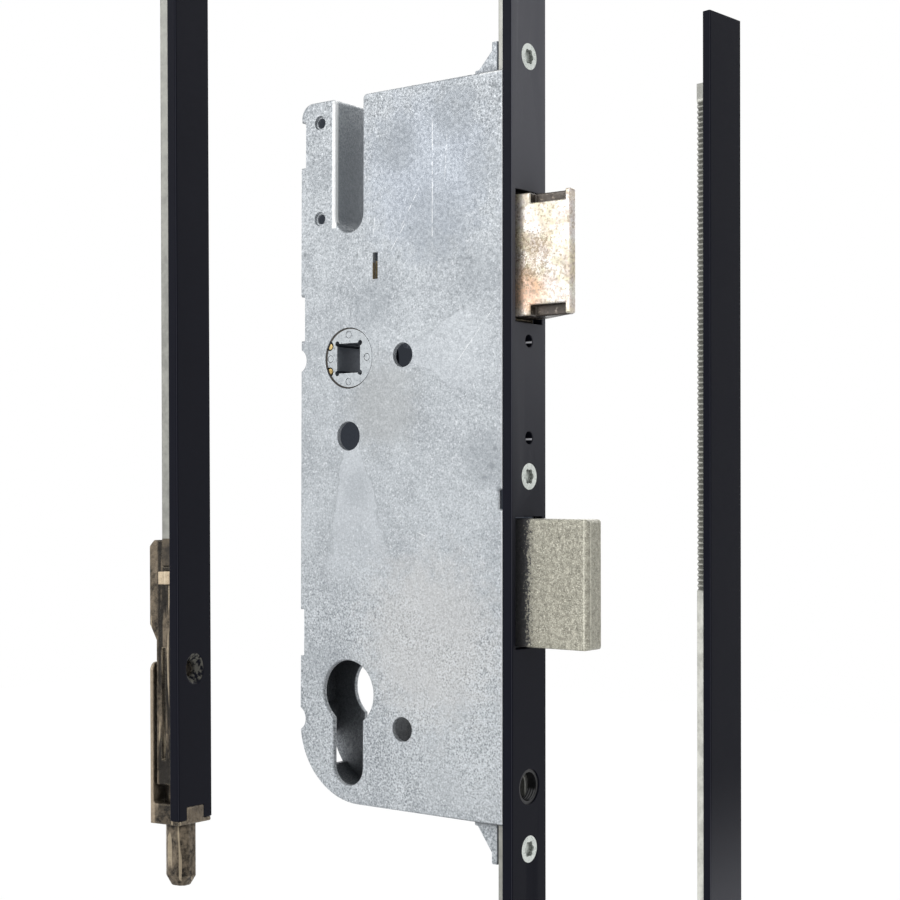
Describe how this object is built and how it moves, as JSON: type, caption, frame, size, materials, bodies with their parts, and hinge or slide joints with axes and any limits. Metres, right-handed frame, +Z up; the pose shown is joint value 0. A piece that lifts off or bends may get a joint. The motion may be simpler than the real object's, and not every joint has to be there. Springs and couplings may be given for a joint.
{
  "type": "multipoint door lock",
  "caption": "Door lock on a long faceplate, with gearbox case, bevelled latch, deadbolt, sliding drive rods, toothed rail and a square bottom shootbolt.",
  "frame": {"origin": "the axis of the spindle socket, in the middle plane of the door", "axes": "+X out of the door's edge, +Y through the door, +Z up along the faceplate"},
  "size_m": [0.0926, 0.016, 1.368],
  "materials": {
    "black_coated_steel": "satin",
    "zinc_plated_steel": "satin",
    "pale_cast_metal": "satin",
    "brass": "satin",
    "nickel_cast_metal": "polished",
    "sintered_steel": "matte",
    "brown_cast_metal": "satin",
    "light_zinc_steel": "satin",
    "pale_zinc_screw": "polished",
    "spring_steel": "satin"
  },
  "bodies": {
    "lock_frame": {"faceplate": "black_coated_steel", "case_tray": "zinc_plated_steel", "case_cover": "zinc_plated_steel", "case_rivets": "zinc_plated_steel", "wheel_posts": "light_zinc_steel", "upper_lug": "zinc_plated_steel", "lower_lug": "zinc_plated_steel", "faceplate_screws": "pale_zinc_screw", "middle_fixing_block": "zinc_plated_steel", "deadbolt_guide": "zinc_plated_steel", "latch_guide": "zinc_plated_steel", "cylinder_screw_eyelet": "zinc_plated_steel", "latch_spring_stop": "zinc_plated_steel", "return_spring_seat": "zinc_plated_steel", "rail_keepers": "light_zinc_steel", "shootbolt_guide": "brown_cast_metal", "latch_spring": "spring_steel", "return_spring": "spring_steel"},
    "follower": {"follower": "pale_cast_metal", "follower_brass_pins": "brass"},
    "idler": {"idler_wheel": "light_zinc_steel"},
    "pinion": {"reversing_pinion": "light_zinc_steel"},
    "upper_drive": {"upper_slide": "light_zinc_steel", "upper_rod": "light_zinc_steel", "toothed_rail": "light_zinc_steel"},
    "lower_drive": {"lower_slide": "light_zinc_steel", "lower_rod": "light_zinc_steel", "lower_rail": "light_zinc_steel", "shootbolt": "brown_cast_metal", "shootbolt_key": "brass"},
    "latch": {"latch_bolt": "nickel_cast_metal", "latch_tail": "brown_cast_metal"},
    "deadbolt": {"deadbolt": "sintered_steel", "deadbolt_tail": "light_zinc_steel"},
    "transfer": {"transfer_gear": "light_zinc_steel"},
    "tumbler": {"deadbolt_tumbler": "light_zinc_steel"},
    "plunger": {"return_plunger": "light_zinc_steel"}
  },
  "joints": [
    {"name": "lower_rods_slide", "type": "slide", "parent": "lock_frame", "child": "lower_drive", "axis": [0, 0, 1], "range_m": [0, 0.01775], "stiffness_N_per_m": 2350, "springref_m": -0.0079},
    {"name": "upper_rods_slide", "type": "slide", "parent": "lock_frame", "child": "upper_drive", "axis": [0, 0, -1], "range_m": [0, 0.01776]},
    {"name": "follower_turn", "type": "hinge", "parent": "lock_frame", "child": "follower", "pos_m": [0, 0, 0], "axis": [0, -1, 0], "range_deg": [0, 45.1]},
    {"name": "idler_spin", "type": "hinge", "parent": "lock_frame", "child": "idler", "pos_m": [0.0133, 0, 0.01815], "axis": [0, -1, 0], "range_deg": [-70.8, 0]},
    {"name": "pinion_spin", "type": "hinge", "parent": "lock_frame", "child": "pinion", "pos_m": [0.04057, 0, -0.018], "axis": [0, -1, 0], "range_deg": [0, 162.8]},
    {"name": "latch_slide", "type": "slide", "parent": "lock_frame", "child": "latch", "axis": [-1, 0, 0], "range_m": [0, 0.01505], "deforming": ["latch_spring"]},
    {"name": "return_plunger_slide", "type": "slide", "parent": "lock_frame", "child": "plunger", "axis": [0, 0, -1], "range_m": [0, 0.0081], "deforming": ["return_spring"]},
    {"name": "deadbolt_slide", "type": "slide", "parent": "lock_frame", "child": "deadbolt", "axis": [-1, 0, 0], "range_m": [0, 0.02]},
    {"name": "transfer_spin", "type": "hinge", "parent": "lock_frame", "child": "transfer", "pos_m": [0.0148, 0, -0.077], "axis": [0, -1, 0], "range_deg": [0, 152.9]},
    {"name": "tumbler_lift", "type": "hinge", "parent": "lock_frame", "child": "tumbler", "pos_m": [0.009, 0, -0.052], "axis": [0, -1, 0], "range_deg": [0, 8.25]}
  ],
  "couplings": [
    {"joint": "follower_turn", "follows": "lower_rods_slide", "rad_per_m": 44.269},
    {"joint": "idler_spin", "follows": "lower_rods_slide", "rad_per_m": -69.565},
    {"joint": "pinion_spin", "follows": "lower_rods_slide", "rad_per_m": 160},
    {"joint": "upper_rods_slide", "follows": "lower_rods_slide", "ratio": 1},
    {"joint": "latch_slide", "follows": "lower_rods_slide", "ratio": 0.84547},
    {"joint": "return_plunger_slide", "follows": "lower_rods_slide", "ratio": 0.45297},
    {"joint": "transfer_spin", "follows": "deadbolt_slide", "rad_per_m": 133.33},
    {"joint": "tumbler_lift", "follows": "deadbolt_slide", "rad_per_m": 7.1429}
  ]
}
